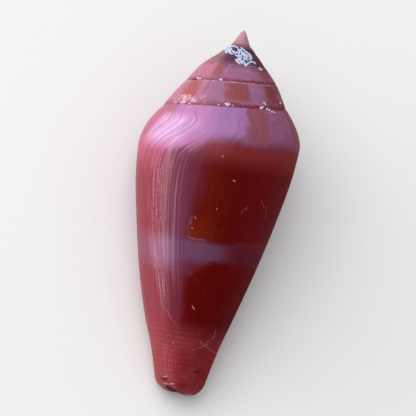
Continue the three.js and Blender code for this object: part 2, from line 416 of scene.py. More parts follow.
def shell_points():
    """Welded points, triangles and a value that is 1 inside the mouth and 0 outside. The two
    places where the spiral's first and last columns meet share a point, and where the closed
    mouth folds flat, the pairs of triangles that lie on each other are both dropped."""
    ages = column_ages()
    when, depth, radius = shell_rows(ages)
    points = place(when, depth, radius)
    points[OUTER_START, 0] = points[OUTER_START + RAMP_ROWS, -1]
    points[CAP_ROWS:CAP_ROWS + RAMP_ROWS, -1] = points[CAP_ROWS, 0]
    inside = np.zeros(depth.shape)
    inside[INNER_START:-DOME_ROWS] = 1
    inside[:, ages >= MOUTH_TURNS] = 0

    flat = points.reshape(-1, 3)
    kept, triangles = weld(flat, grid_triangles(*depth.shape), WELD_DECIMALS)
    which, times = np.unique(np.sort(triangles, 1), axis=0, return_inverse=True, return_counts=True)[1:]
    single = times[which.reshape(-1)] == 1
    return flat[kept], triangles[single], inside.reshape(-1)[kept]


def lay_down(points):
    """Millimetres about the coiling axis to metres in the shell's lying frame. The box of the whole shell
    is centred over the origin; what would reach below the floor is rubbed flat afterwards, on the shell
    alone."""
    return (points @ np.array(LYING).T + SHIFT) * MM


def mesh_object(name, points, faces):
    mesh = bpy.data.meshes.new(name)
    mesh.from_pydata(points.tolist(), [], faces.tolist())
    mesh.validate()
    mesh.shade_smooth()
    obj = bpy.data.objects.new(name, mesh)
    bpy.context.scene.collection.objects.link(obj)
    return obj


coil_points, coil_faces, coil_inside = shell_points()
box_low, box_high = (np.array(corner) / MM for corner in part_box("shell"))
turned = coil_points @ np.array(LYING).T
SHIFT = (box_low + box_high) / 2 - (turned.min(0) + turned.max(0)) / 2
SHIFT[2] = box_high[2] - turned[:, 2].max()
shell_metres = lay_down(coil_points)
shell_metres[:, 2] = np.maximum(shell_metres[:, 2], 0)
shell = mesh_object("cone_shell", shell_metres, coil_faces)
inside_layer = shell.data.attributes.new("inside", "FLOAT", "POINT")
inside_layer.data.foreach_set("value", coil_inside.astype(np.float32))
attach(shell, "root")
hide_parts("shell")

# ---------------------------------------------------------------- crust and grains

# Ridges of the crust by the apex: millimetres across and depth, on the side that lies uppermost.
CRUST_PATHS = [
    [(-1.12, 1.92), (-0.82, 1.80), (-0.45, 1.72), (-0.20, 1.74), (-0.05, 1.86)],
    [(-0.05, 1.86), (0.04, 2.10), (-0.13, 2.30), (-0.28, 2.44)],
    [(0.16, 1.70), (0.37, 1.84), (0.64, 2.05), (0.97, 2.20), (1.28, 2.47), (1.42, 2.66)],
    [(-1.22, 2.30), (-1.02, 2.44), (-0.82, 2.16), (-0.62, 2.44), (-0.40, 2.48)],
    [(-1.10, 2.02), (-0.84, 2.08), (-0.66, 2.02)],
    [(0.04, 2.08), (0.15, 1.93), (0.33, 2.19), (0.46, 2.42), (0.30, 2.55), (0.02, 2.58), (-0.26, 2.50)],
    [(0.46, 2.42), (0.80, 2.38), (1.10, 2.52), (1.40, 2.64)],
    [(0.28, 2.56), (0.26, 2.86), (-0.02, 2.99), (0.20, 3.22), (0.40, 3.38)],
    [(0.26, 2.86), (0.48, 2.72), (0.84, 2.80), (1.12, 2.70)],
    [(0.20, 3.22), (0.50, 3.10), (0.76, 3.16), (0.84, 3.40), (1.10, 3.12), (1.38, 2.86)],
    [(0.66, 2.84), (0.64, 3.12)], [(1.12, 2.70), (1.38, 2.84)], [(-0.30, 2.14), (-0.44, 2.36)],
    [(1.20, 2.98), (1.55, 2.94), (1.80, 3.10)], [(0.52, 2.12), (0.64, 2.40), (0.62, 2.68)],
    [(0.92, 2.34), (0.86, 2.62), (0.98, 2.96)], [(0.10, 2.72), (0.34, 3.00), (0.60, 2.98)],
    [(-1.20, 2.08), (-1.06, 2.24), (-0.90, 2.30)], [(-0.76, 1.86), (-0.62, 2.10), (-0.44, 2.20)],
    [(0.50, 3.12), (0.58, 3.34)], [(0.24, 2.02), (0.08, 2.34), (0.10, 2.56)]]

# Ridge shape: its radius, the points round it and along each stretch of path, how far it sits
# out of the surface, how it sways, and how its thickness varies evenly and at random.
RIDGE_RADIUS = 0.102
RIDGE_AROUND = 9
RIDGE_STATIONS = 7
FEWEST_STATIONS = 8
RIDGE_RISE = 0.035
SWAY, SWAY_PITCH = 0.018, 1.7
LUMP, LUMP_PITCH = 0.36, 1.9
ROUGHNESS = 0.12
END_BLUNTNESS = 0.35

# Grain shape: the points down and round it, how uneven, wide and varied in size it is, and how
# much of it is sunk in.
GRAIN_RINGS = 7
GRAIN_AROUND = 10
GRAIN_FACETS = 0.22
GRAIN_WIDTH = 1.15
GRAIN_SIZES = (0.85, 1.15)
GRAIN_SUNK = 0.25
CRUST_DECIMALS = 5

# Grains caught along the sutures and in one scar: across, depth and size.
GRAINS = [
    (-3.30, 5.25, 0.15), (-3.12, 5.24, 0.10), (-1.17, 5.07, 0.14), (-0.34, 7.28, 0.12),
    (-0.20, 7.42, 0.13), (-0.05, 7.30, 0.12), (-0.16, 7.18, 0.09), (0.30, 7.36, 0.07),
    (3.14, 6.62, 0.10), (3.26, 6.72, 0.09), (2.95, 7.15, 0.13), (3.08, 7.02, 0.10),
    (3.52, 7.14, 0.10), (3.74, 7.20, 0.10), (4.02, 7.30, 0.09), (4.26, 7.36, 0.08),
    (4.66, 6.34, 0.10), (2.22, 3.44, 0.11), (2.40, 3.50, 0.13), (-4.20, 7.68, 0.08),
    (-3.70, 7.74, 0.09), (-1.02, 7.46, 0.07)]


def surface_point(across, depth):
    """A point on the uppermost side of the shell at this distance across and this depth."""
    radius = coil_radius(across, depth)
    lean = TIP_LEAN * np.exp(-(depth / TIP_LEAN_DEPTH) ** 2)
    toward = np.sqrt(np.maximum(radius ** 2 - (across - lean) ** 2, 0.01))
    return np.stack([across, -toward, LENGTH - depth], -1)


def coil_radius(across, depth):
    """Radius of the turn showing at a depth, for the bearing this far across."""
    around = np.arcsin(np.clip(across / spire_radius(depth), -1, 1)) - math.pi / 2
    first = ((around - LIP_BEARING) / TAU) % 1
    turns = np.ceil(np.log(LIP_SUTURE_DEPTH / depth) / math.log(GROWTH_PER_TURN) - first)
    return ramp_radius(first + np.maximum(turns, 0), depth)


def smooth_path(path, count):
    """Points spread evenly along a smooth curve through the path."""
    path = np.array(path, float)
    run = np.concatenate([[0], np.cumsum(np.linalg.norm(np.diff(path, axis=0), axis=1))])
    at = np.linspace(0, run[-1], count)
    if len(path) < 3:
        return np.stack([np.interp(at, run, path[:, i]) for i in (0, 1)], -1)
    slopes = np.gradient(path, run, axis=0)
    i = np.clip(np.searchsorted(run, at, side="right") - 1, 0, len(run) - 2)
    width = np.diff(run)[i][:, None]
    share = ((at - run[i])[:, None]) / width
    ends = path[i] * (1 + 2 * share) * (1 - share) ** 2 + path[i + 1] * share ** 2 * (3 - 2 * share)
    return ends + width * share * (1 - share) * (slopes[i] * (1 - share) - slopes[i + 1] * share)


def ring_faces(rings, around):
    """Triangles joining closed rings of points in order."""
    row, column = np.meshgrid(np.arange(rings - 1), np.arange(around), indexing="ij")
    a, b = row * around + column, row * around + (column + 1) % around
    c, d = a + around, b + around
    return np.concatenate([np.stack([a, b, c], -1), np.stack([b, d, c], -1)]).reshape(-1, 3)


def closed_mesh(points, around):
    """One closed mesh from rings of points whose first and last have shrunk to a point."""
    flat = points.reshape(-1, 3)
    kept, faces = weld(flat, ring_faces(len(points), around), CRUST_DECIMALS)
    return flat[kept], faces


def ridge_frame(centre):
    """Unit vectors at each point of a ridge's middle: out of the surface and across the ridge."""
    run = np.gradient(centre, axis=0)
    run /= np.linalg.norm(run, axis=1)[:, None]
    outward = centre * (1, 1, 0) + (0, 0, 0.8)
    outward -= (outward * run).sum(1)[:, None] * run
    outward /= np.linalg.norm(outward, axis=1)[:, None]
    return outward, np.cross(outward, run)


def ridge(path, random):
    """One crust ridge: a lumpy tube of uneven thickness along the path, closed at both ends."""
    count = max(FEWEST_STATIONS, int(len(path) * RIDGE_STATIONS))
    station = np.arange(count)
    flat = smooth_path(path, count)
    flat += SWAY * np.sin(station[:, None] * SWAY_PITCH + random.uniform(0, TAU, 2))
    centre = surface_point(flat[:, 0], flat[:, 1])
    outward, sideways = ridge_frame(centre)
    end = np.sin(math.pi * np.linspace(0, 1, count)) ** END_BLUNTNESS
    end[[0, -1]] = 0
    lumps = 1 + LUMP * np.sin(station * LUMP_PITCH + random.uniform(0, TAU))
    lumps = lumps + random.uniform(-ROUGHNESS, ROUGHNESS, count)
    radius = RIDGE_RADIUS * end * lumps
    rough = 1 + random.uniform(-ROUGHNESS, ROUGHNESS, (count, RIDGE_AROUND))
    angle = (np.arange(RIDGE_AROUND) / RIDGE_AROUND * TAU)[None, :, None]
    spoke = np.cos(angle) * sideways[:, None] + np.sin(angle) * outward[:, None]
    middle = centre[:, None] + outward[:, None] * RIDGE_RISE
    return closed_mesh(middle + spoke * (radius[:, None] * rough)[..., None], RIDGE_AROUND)


def grain(across, depth, size, random):
    """One suture grain: a flattened angular lump, closed at its poles and part sunk in."""
    polar = np.linspace(0, math.pi, GRAIN_RINGS)[:, None]
    angle = np.arange(GRAIN_AROUND) / GRAIN_AROUND * TAU + 0 * polar
    facets = np.sin(3 * angle + random.uniform(0, TAU)) * np.sin(2 * polar + random.uniform(0, TAU))
    radius = size * (1 + GRAIN_FACETS * facets) * random.uniform(*GRAIN_SIZES, 1)
    round_x, round_z = np.sin(polar) * np.cos(angle), np.sin(polar) * np.sin(angle)
    shape = np.stack([round_x * GRAIN_WIDTH, np.cos(polar) + 0 * angle, round_z], -1)
    shape = shape * radius[..., None]
    shape[0], shape[-1] = shape[0].mean(0), shape[-1].mean(0)
    middle = surface_point(np.array(across), np.array(depth)) + (0, -GRAIN_SUNK * size, 0)
    return closed_mesh(shape + middle, GRAIN_AROUND)


def joined_object(name, meshes):
    """One object from several closed meshes given about the coiling axis."""
    points, faces = zip(*meshes)
    starts = np.cumsum([0] + [len(one) for one in points])
    joined_faces = np.concatenate([one + start for one, start in zip(faces, starts)])
    obj = mesh_object(name, lay_down(np.concatenate(points)), joined_faces)
    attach(obj, "root")
    return obj


crust_random = np.random.default_rng(21)
crust = joined_object("apex_crust", [ridge(path, crust_random) for path in CRUST_PATHS])
grains = joined_object("suture_grains", [grain(*spot, crust_random) for spot in GRAINS])

# ---------------------------------------------------------------- stage

FLOOR_REACH = 3
FLOOR_SIDES = [(-1, -1), (1, -1), (1, 1), (-1, 1)]

floor_mesh = bpy.data.meshes.new("floor")
floor_corners = [(x * FLOOR_REACH, y * FLOOR_REACH, 0) for x, y in FLOOR_SIDES]
floor_mesh.from_pydata(floor_corners, [], [(0, 1, 2, 3)])
floor = bpy.data.objects.new("floor", floor_mesh)
bpy.context.scene.collection.objects.link(floor)


# ---------------------------------------------------------------- finishes

class Value:
    """A shader socket that takes part in arithmetic: each operator adds its Math node."""

    def __init__(self, maker, socket):
        self.maker, self.socket = maker, socket

    def _math(self, operation, *others):
        sockets = dict(enumerate([self, *others]))
        return self.maker.node("ShaderNodeMath", {"operation": operation}, sockets)

    def __add__(self, other):
        return self._math("ADD", other)

    def __sub__(self, other):
        return self._math("SUBTRACT", other)

    def __mul__(self, other):
        return self._math("MULTIPLY", other)

    def __truediv__(self, other):
        return self._math("DIVIDE", other)

    def __rsub__(self, other):
        return self.maker.node("ShaderNodeMath", {"operation": "SUBTRACT"}, {0: other, 1: self})

    __radd__, __rmul__ = __add__, __mul__

    def power(self, exponent):
        return self._math("POWER", exponent)

    def sine(self):
        return self._math("SINE")

    def cosine(self):
        return self._math("COSINE")

    def exponent(self):
        return self._math("EXPONENT")

    def fraction(self):
        return self._math("FRACT")

    def highest(self, other):
        return self._math("MAXIMUM", other)

    def lowest(self, other):
        return self._math("MINIMUM", other)

    def step(self, low, high):
        """0 below low, 1 above high and smooth between; low above high turns it round."""
        ends = {"Value": self, "From Min": low, "From Max": high}
        return self.maker.node("ShaderNodeMapRange", {"interpolation_type": "SMOOTHSTEP"}, ends)

    def between(self, low, high, soft_low, soft_high):
        """1 from low to high and 0 outside, each edge soft by its own half width."""
        return self.step(low - soft_low, low + soft_low) * self.step(high + soft_high, high - soft_high)


class Finish:
    """A material's nodes: every node comes from node(), which gives one output as a Value."""

    def __init__(self, name):
        self.material = bpy.data.materials.new(name)
        self.material.use_nodes = True
        self.tree = self.material.node_tree
        self.tree.nodes.clear()

    def node(self, kind, settings=None, sockets=None, output=0):
        node = self.tree.nodes.new(kind)
        for key, value in (settings or {}).items():
            setattr(node, key, value)
        for key, value in (sockets or {}).items():
            if isinstance(value, Value):
                self.tree.links.new(value.socket, node.inputs[key])
            else:
                node.inputs[key].default_value = value
        return None if output is None else Value(self, node.outputs[output])

    def noise(self, vector, scale, detail=3.0, roughness=0.5, distortion=0.0):
        sockets = {"Vector": vector, "Scale": scale, "Detail": detail, "Roughness": roughness,
                   "Distortion": distortion}
        return self.node("ShaderNodeTexNoise", {}, sockets, "Fac")

    def mix(self, share, first, second):
        """Colour mix: share of the second colour over the first."""
        return self.node("ShaderNodeMix", {"data_type": "RGBA"}, {0: share, 6: first, 7: second}, 2)

    def lay(self, colour, *layers):
        """The colour under layers, each given as its share and its tint's name."""
        for share, name in layers:
            colour = self.mix(share, colour, tint(name))
        return colour

    def join(self, x, y, z):
        return self.node("ShaderNodeCombineXYZ", {}, {0: x, 1: y, 2: z})

    def output(self, shader):
        self.node("ShaderNodeOutputMaterial", {}, {"Surface": shader}, None)
        return self.material

    def surface(self, colour, roughness, sockets):
        """The finished material, from its colour, roughness and any other sockets."""
        sockets = {"Base Color": colour, "Roughness": roughness, **sockets}
        return self.output(self.node("ShaderNodeBsdfPrincipled", {}, sockets))

    def bump(self, height, strength, distance):
        sockets = {"Strength": strength, "Distance": distance, "Height": height}
        return self.node("ShaderNodeBump", {}, sockets, "Normal")


# Every colour, as its usual six-figure code.
TINTS = {
    "rose flank": "8e343e", "pink flank": "b85c78", "flank streaks": "86343e", "wine": "672c40",
    "dark wine": "5b1321", "deep red": "661620", "back rose": "95495a", "back wine": "7c3844",
    "low wine": "651a26", "base rose": "93363d", "base red": "791a21",
    "base at the right": "861b22", "base clouds": "9a3c44", "patch brown": "590803",
    "patch red": "620b14", "patch at the right": "65141a", "lower patch": "5a0304",
    "patch top": "8a3234", "rust": "620f06", "ember": "621407", "patch corner": "6a220f",
    "patch clouds": "6e1812", "rose shoulder": "b5607a", "pink lilac": "b87cac", "lilac": "9a6aa0",
    "shoulder at the right": "8a5070", "shoulder clouds": "a8709c", "shoulder flush": "aa6270",
    "rose belt": "8c4a60", "pale belt": "966280", "violet belt": "683e5c",
    "belt at the right": "5c1424", "pink spire": "b26e84", "lilac spire": "92607f",
    "spire at the right": "7e424c", "spire clouds": "a87894", "spire bar at the left": "a45652",
    "spire bar": "8a434a", "spire bar at the right": "7c3a3e", "old bar": "85505a",
    "rose dust": "8a5c60", "grey dust": "48293c", "brown dust": "4e282a", "seam": "782a38",
    # The first tint on the next line is a painted highlight above the last suture.
    "painted_glint": "ecccda", "tip": "be8c96", "tip end": "caa0b2", "blush": "a8566a",
    # The last tint on the next line is painted shade in the groove above each suture.
    "patch rim": "9a6d90", "shoulder bar": "874a52", "thread": "dcb4c0", "crease_shade": "5a2430",
    # The first three tints on the next line are painted highlights: the streaks, the fine lines and the
    # fan.
    "highlight_sheaf": "c896ae", "three lines": "8c6488", "highlight_fan": "e8c0ec", "dark growth": "5a2030",
    # The second tint on the next line is a painted highlight on the base cords.
    "dark lines": "6a2a3e", "cords": "c07880", "scratch": "b8788a", "crack": "c89098",
    # The second tint on the next line is the dark of the flecks and painted shade in the chipped hollow.
    "pit": "d8a898", "fleck_and_chip_shade": "30060c", "chip rim": "e0b8bc", "stain": "46343f",
    "pink inside": "d2acb8", "lilac inside": "c49cb4", "crust shade": "8e93b0", "crust": "ccd6f0",
    "crust light": "f0f4fc", "grain shade": "c8a0bc", "grain light": "f2e0ea"}


def tint(name):
    """The linear colour of a named tint."""
    parts = [int(TINTS[name][i:i + 2], 16) / 255 for i in (0, 2, 4)]
    return [((p + 0.055) / 1.055) ** 2.4 if p > 0.04045 else p / 12.92 for p in parts] + [1.0]


def shell_coordinates(finish):
    """Depth down the axis and bearing round it, in millimetres and radians, at every point. The
    bearing is 0 along the back of the lying shell and grows to the right."""
    upright = LYING.transposed()
    turn = upright.to_euler("XYZ")
    where = finish.node("ShaderNodeTexCoord", output="Object")
    start = upright @ Vector(SHIFT.tolist())
    sockets = {"Vector": where, "Location": -start, "Rotation": turn, "Scale": (1 / MM,) * 3}
    about_axis = finish.node("ShaderNodeMapping", {"vector_type": "POINT"}, sockets)
    x = finish.node("ShaderNodeSeparateXYZ", {}, {0: about_axis})
    y = Value(finish, x.socket.node.outputs[1])
    z = Value(finish, x.socket.node.outputs[2])
    bearing = finish.node("ShaderNodeMath", {"operation": "ARCTAN2"}, {0: x, 1: y * -1.0})
    return about_axis, x, y, LENGTH - z, bearing


# Where the shell's colours lie, in millimetres of depth and radians of bearing. A pair is the
# two ends of a soft step, and four numbers are the low and high ends of a stretch and the
# softness of each. The bars are each a middle and half a width, and they and the fine lines are
# in degrees. The stain's middle and half size are across and in depth.
ROUND_THE_BACK = (1.9, 3.1)
BEND_DEPTHS, SHOULDER_BEND = (13.0, 9.2), 0.24
LILAC_START, LILAC_END = (6.4, 7.2), (11.5, 9.8)
FLUSH_SIDE, FLUSH_END = (-0.7, -1.1), (9.6, 8.4)
BELT_START, BELT_END = (20.1, 20.7), (23.0, 21.7)
LEFT_BELT_START, LEFT_BELT_END = (19.4, 21.3), (24.2, 22.0)
LOW_WINE, LOW_WINE_SIDES, BASE_RED = (21.5, 25.0), (-0.75, 0.3, 0.15, 0.2), (26.2, 31.0)
PATCH_RIGHT_SIDE = (1.95, 1.7)
UPPER_SIDE, UPPER_SOFT_SIDE, UPPER_CRISP_BELOW = (-0.31, -0.12), (-0.40, -0.02), (15.5, 18.5)
UPPER_TOP, UPPER_FOOT = (9.9, 11.8), (20.4, 19.95)
LOWER_SIDE, LOWER_TOP, LOWER_FOOT = (-0.43, -0.24), (21.7, 22.4), (29.9, 27.4)
BACK_LEFT, BACK_RIGHT = (-2.15, -2.3), (2.7, 2.9)
BACK_UPPER, BACK_LOWER = (12.4, 19.6, 0.5, 0.2), (23.0, 28.2, 0.4, 1.0)
BAR_RAGGEDNESS, BAR_SOFTNESS = 0.26, 0.07
SHOULDER_BARS = [(25.5, 9.5), (72, 7), (140, 12), (-128, 10)]
LAST_TURN_BARS = [(-49, 10), (7, 14), (51, 9), (110, 14), (158, 12), (-110, 12)]
OLDER_TURN_BARS = [(-25, 8), (52, 9), (115, 14), (-158, 12), (-100, 12)]
# Where the painted highlights lie: the streaks on the left, the fan over the shoulder and the three fine
# lines.
SHEAF_SIDES, SHEAF_DEPTHS = (-1.02, -0.72, 0.12, 0.14), (13.0, 25.8, 1.5, 2.8)
FAN_SIDES, FAN_DEPTHS = (-1.30, -0.72, 0.12, 0.20), (9.0, 11.8, 0.5, 0.9)
FINE_LINES, FINE_LINE_DEPTHS = (-34.4, -31.0, -27.6), (11.5, 25.5, 1.0, 2.5)
FINE_LINE_HALF, FINE_LINE_SOFTNESS = math.radians(0.5), 0.012
BASE_CORD_PITCH, BASE_CORD_DEPTHS = 0.46, (28.8, 34.2, 0.8, 0.4)
STAIN_MIDDLE, STAIN_SIZE = (0.2, 2.4), (1.35, 0.8)


class Coat:
    """What the shell's colour needs at every point: where it is and the noises it shares.
    Its tone is the bearing, turned so that the right side's colours run on round the back into
    the left side's."""

    def __init__(self, finish):
        self.finish = finish
        self.about_axis, self.x, self.y, self.depth, self.bearing = shell_coordinates(finish)
        self.drift = finish.noise(self.about_axis, 0.33, 2.0) - 0.5
        self.ragged = finish.noise(self.about_axis, 1.5, 4.0, 0.6) - 0.5
        self.fine = finish.noise(self.about_axis, 6.0, 3.0, 0.6) - 0.5
        self.cloud = finish.noise(self.about_axis, 0.8, 3.0, 0.55, 0.4)
        self.tone = self.bearing - self.bearing.step(*ROUND_THE_BACK) * TAU
        self.find_growth_edges()
        self.find_turn()

    def find_growth_edges(self):
        """Bearing along the growth edges, the same as the plain one at the flank's middle, and
        the noises drawn out along those edges."""
        below = (self.depth - LIP_SUTURE_DEPTH).highest(0.0) / LIP_SUTURE_DEPTH
        swing = below * SINUS_PITCH
        sinus = swing * (1.0 - swing).exponent() * SINUS_TURNS
        middle = (self.depth - LIP_SUTURE_DEPTH) / (LENGTH - LIP_SUTURE_DEPTH)
        belly = (middle.highest(0.0).lowest(1.0).power(BELLY_RISE) * math.pi).sine()
        self.edge = self.bearing - (sinus + (1.0 - belly) * LIP_BELLY) * TAU
        self.bent = self.edge - self.depth.step(*BEND_DEPTHS) * SHOULDER_BEND
        cosine, sine = self.bent.cosine(), self.bent.sine()
        join = self.finish.join
        self.growth = self.finish.noise(join(cosine, sine, self.depth * 0.012), 9.0, 4.0, 0.6)
        self.lines = self.finish.noise(join(cosine, sine, self.depth * 0.006), 42.0, 2.0, 0.6)
        self.hairs = self.finish.noise(join(cosine, sine, self.depth * 0.03), 120.0, 2.0, 0.6)

    def find_turn(self):
        """Where a spire point is on its own turn's ramp: 0 at its suture and 1 at the next."""
        self.wound = self.finish.node("ShaderNodeMath", {"operation": "LOGARITHM"},
                                      {0: self.depth / LIP_SUTURE_DEPTH, 1: GROWTH_PER_TURN})
        age = (self.bearing - math.pi / 2 - LIP_BEARING) / TAU + 4.0
        self.ramp = (age + self.wound).fraction()
        self.spire = (self.wound + age.fraction()).step(0.02, -0.02)

    def bar(self, centre, half):
        """1 within half an angle of a bearing, given in degrees, with a ragged soft edge."""
        low, high = math.radians(centre - half), math.radians(centre + half)
        ragged = self.bearing + self.ragged * BAR_RAGGEDNESS
        return ragged.between(low, high, BAR_SOFTNESS, BAR_SOFTNESS)

    def bars(self, *bars):
        total = self.bar(*bars[0])
        for one in bars[1:]:
            total = total.highest(self.bar(*one))
        return total


# Small marks on the upper side: paths of points in millimetres across and depth, and the width
# of the line drawn along them.
SCRATCHES = [[(4.26, 15.6), (4.75, 16.3), (5.09, 17.25)], [(2.57, 17.2), (3.2, 16.5)],
             [(-3.2, 26.8), (-2.6, 27.5), (-1.9, 28.4)]]
CRACKS = [[(0.07, 30.55), (0.7, 30.25), (1.23, 29.98), (1.55, 29.5), (1.8, 29.3), (2.03, 28.3)],
          [(1.23, 29.98), (2.3, 30.6)], [(0.6, 29.6), (1.23, 29.98)], [(1.8, 29.3), (2.2, 28.9)]]
PITS = [[(0.14, 12.15), (0.18, 12.2)], [(1.53, 14.25), (1.55, 14.29)], [(0.26, 17.1), (0.29, 17.14)],
        [(-1.5, 18.2), (-1.46, 18.24)], [(-1.54, 19.2), (-1.5, 19.27)], [(-1.74, 30.1), (-1.68, 30.2)],
        [(-0.5, 26.45), (-0.3, 26.7)]]
FLECKS = [[(0.75, 32.6), (1.05, 32.62)], [(-3.85, 5.42), (-3.45, 5.33)]]
# The next paths are painted shade: the dark inside the chipped hollow at the base.
SHADED_CHIP_HOLLOW = [[(-1.75, 34.42), (-1.2, 34.62), (-0.75, 34.70)], [(-2.25, 33.7), (-1.95, 33.72)]]
CHIP_RIM = [[(-1.9, 34.2), (-1.5, 34.12), (-1.15, 34.02)], [(-2.2, 33.55), (-1.85, 33.42)]]
SCRATCH_WIDTH, CRACK_WIDTH, PIT_WIDTH = 0.04, 0.045, 0.055
FLECK_WIDTH, SHADED_CHIP_WIDTH, CHIP_RIM_WIDTH = 0.07, 0.16, 0.05
MARK_WANDER, MARK_SHAKE = 0.9, 0.5


def marks(coat, paths, width):
    """1 on thin wavering lines along the paths, 0 elsewhere."""
    x = coat.x + coat.ragged * MARK_WANDER
    depth = coat.depth + coat.fine * MARK_SHAKE
    total = None
    for path in paths:
        for (x0, d0), (x1, d1) in zip(path, path[1:]):
            length = math.hypot(x1 - x0, d1 - d0)
            ux, ud = (x1 - x0) / length, (d1 - d0) / length
            along = ((x - x0) * ux + (depth - d0) * ud).highest(0.0).lowest(length)
            off_x = x - x0 - along * ux
            off_d = depth - d0 - along * ud
            line = (off_x * off_x + off_d * off_d).power(0.5).step(width * 1.5, width * 0.4)
            total = line if total is None else total.highest(line)
    return total * coat.y.step(0.5, -0.5)


def flank_colour(coat):
    """Rose at the left, wine towards the patches, deep red on the right and rose-red below."""
    f = coat.finish
    side = coat.edge + coat.drift * 0.3 + (coat.growth - 0.5) * 0.3
    colour = f.lay(
        tint("rose flank"),
        (coat.depth.step(15.5, 11.2), "pink flank"),
        (coat.growth.step(0.5, 0.68) * 0.35, "flank streaks"),
        (side.step(-0.98, -0.40), "wine"),
        (side.step(-0.46, -0.20), "dark wine"),
        (coat.tone.step(0.1, 1.0), "deep red"))
    far = coat.bearing.step(1.75, 2.1) + coat.bearing.step(-1.6, -2.0)
    back = f.lay(tint("back rose"), (coat.growth.step(0.35, 0.65), "back wine"))
    wine = (coat.depth + coat.drift * 1.5).step(*LOW_WINE) * side.between(*LOW_WINE_SIDES)
    colour = f.lay(f.mix(far, colour, back), (wine * 0.8, "low wine"))
    red = f.lay(
        tint("base rose"),
        (coat.tone.step(-1.0, -0.2), "base red"),
        (coat.tone.step(0.3, 1.2), "base at the right"),
        (coat.cloud.step(0.35, 0.7) * 0.3, "base clouds"))
    base = (coat.depth + coat.drift * 1.2 + coat.ragged * 0.5).step(*BASE_RED)
    return f.mix(base, colour, red)


def flank_patches(coat):
    """How much of a red-brown patch there is: two on the upper side and two round the back. The
    upper patch is soft at its top left, crisp below, and steps up towards the right. The lower
    one has a rounded top left."""
    edge = coat.bearing + coat.drift * 0.16 + coat.ragged * 0.14
    level = coat.depth + coat.ragged * 0.8 + coat.drift * 0.5
    right = edge.step(*PATCH_RIGHT_SIDE)
    corner = level.step(17.0, 19.2) * 0.10
    crisp, soft = (edge + corner).step(*UPPER_SIDE), edge.step(*UPPER_SOFT_SIDE)
    top = level - edge.step(0.15, -0.2) * 0.7
    foot = level + edge.step(0.35, 0.9) * 0.5
    upper = (soft + (crisp - soft) * level.step(*UPPER_CRISP_BELOW)) * right * top.step(*UPPER_TOP)
    upper = upper * foot.step(*UPPER_FOOT)
    rounding = edge.step(0.20, -0.30) * 1.6
    lower = edge.step(*LOWER_SIDE) * right * (level - rounding).step(*LOWER_TOP) * level.step(*LOWER_FOOT)
    back = (edge.step(*BACK_LEFT) + edge.step(*BACK_RIGHT)).lowest(1.0)
    hidden = level.between(*BACK_UPPER).highest(level.between(*BACK_LOWER)) * back
    return upper.highest(lower).highest(hidden)


def patch_colour(coat):
    """Red-brown, redder to the right, rusty at the left of each patch and pale at the top."""
    side = coat.tone + coat.ragged * 0.5
    rust = side.step(0.30, -0.08) * coat.depth.between(12.3, 20.2, 1.4, 0.4)
    ember = side.step(0.22, -0.10) * coat.depth.step(24.5, 22.0) * coat.depth.step(20.8, 21.4)
    corner = side.step(0.25, -0.30) * coat.depth.between(18.6, 20.4, 1.2, 0.3)
    return coat.finish.lay(
        tint("patch brown"),
        (coat.tone.step(0.15, 0.7), "patch red"),
        (coat.tone.step(0.8, 1.3), "patch at the right"),
        (coat.depth.step(20.0, 23.5) * 0.8, "lower patch"),
        (coat.depth.step(13.8, 10.8) * 0.85, "patch top"),
        (rust * 0.8, "rust"),
        (ember * 0.75, "ember"),
        (corner * 0.9, "patch corner"),
        (coat.cloud.step(0.5, 0.75) * 0.25, "patch clouds"))


def add_shoulder(coat, colour):
    """The lilac shoulder, whose lower edge runs down the growth lines on the left."""
    f = coat.finish
    lilac = f.lay(
        tint("rose shoulder"),
        (coat.tone.step(-1.1, -0.75), "pink lilac"),
        (coat.tone.step(-0.5, 0.0), "lilac"),
        (coat.tone.step(0.2, 0.75), "shoulder at the right"),
        (coat.cloud.step(0.45, 0.7) * 0.4, "shoulder clouds"))
    level = coat.depth + coat.drift * 0.9 + coat.ragged * 0.4
    drop = coat.tone.step(-0.1, -0.45) * 1.2 + (coat.lines - 0.5) * coat.tone.step(0.0, -0.5) * 3.5
    colour = f.mix((level - drop).step(*LILAC_END) * coat.depth.step(*LILAC_START), colour, lilac)
    flush = coat.tone.step(*FLUSH_SIDE) * coat.depth.step(*FLUSH_END)
    return f.lay(colour, (flush * 0.8, "shoulder flush"))


def add_belt(coat, colour):
    """The lilac belt round the middle, wider and softer on the left."""
    f = coat.finish
    belt = f.lay(
        tint("rose belt"),
        (coat.tone.step(-1.15, -0.85), "pale belt"),
        (coat.tone.step(-0.75, -0.40), "violet belt"),
        (coat.tone.step(0.0, 0.55), "belt at the right"))
    left = coat.tone.step(-0.30, -0.65)
    level = coat.depth + coat.ragged * 0.5 + coat.drift * 0.6
    sharp = level.step(*BELT_START) * level.step(*BELT_END)
    soft = level.step(*LEFT_BELT_START) * level.step(*LEFT_BELT_END)
    return f.mix((sharp + (soft - sharp) * left) * 0.9, colour, belt)


def shoulder_bars(coat):
    """Brown bars across the shoulder, under the suture."""
    level = coat.depth + coat.ragged * 0.6
    return coat.bars(*SHOULDER_BARS) * level.step(10.9, 10.1) * coat.depth.step(6.5, 7.2)


def add_spire_bars(coat, colour):
    """Brown bars on the ramps of the spire, in other places on the older turns."""
    f = coat.finish
    older = coat.wound.step(-1.30, -1.40)
    last, before = coat.bars(*LAST_TURN_BARS), coat.bars(*OLDER_TURN_BARS)
    amount = (last + (before - last) * older) * coat.ramp.between(0.06, 0.80, 0.06, 0.12)
    brown = f.lay(
        tint("spire bar at the left"),
        (coat.tone.step(-0.6, 0.0), "spire bar"),
        (coat.tone.step(0.5, 1.0), "spire bar at the right"),
        (older * 0.5, "old bar"))
    return f.mix(amount * 0.9, colour, brown)


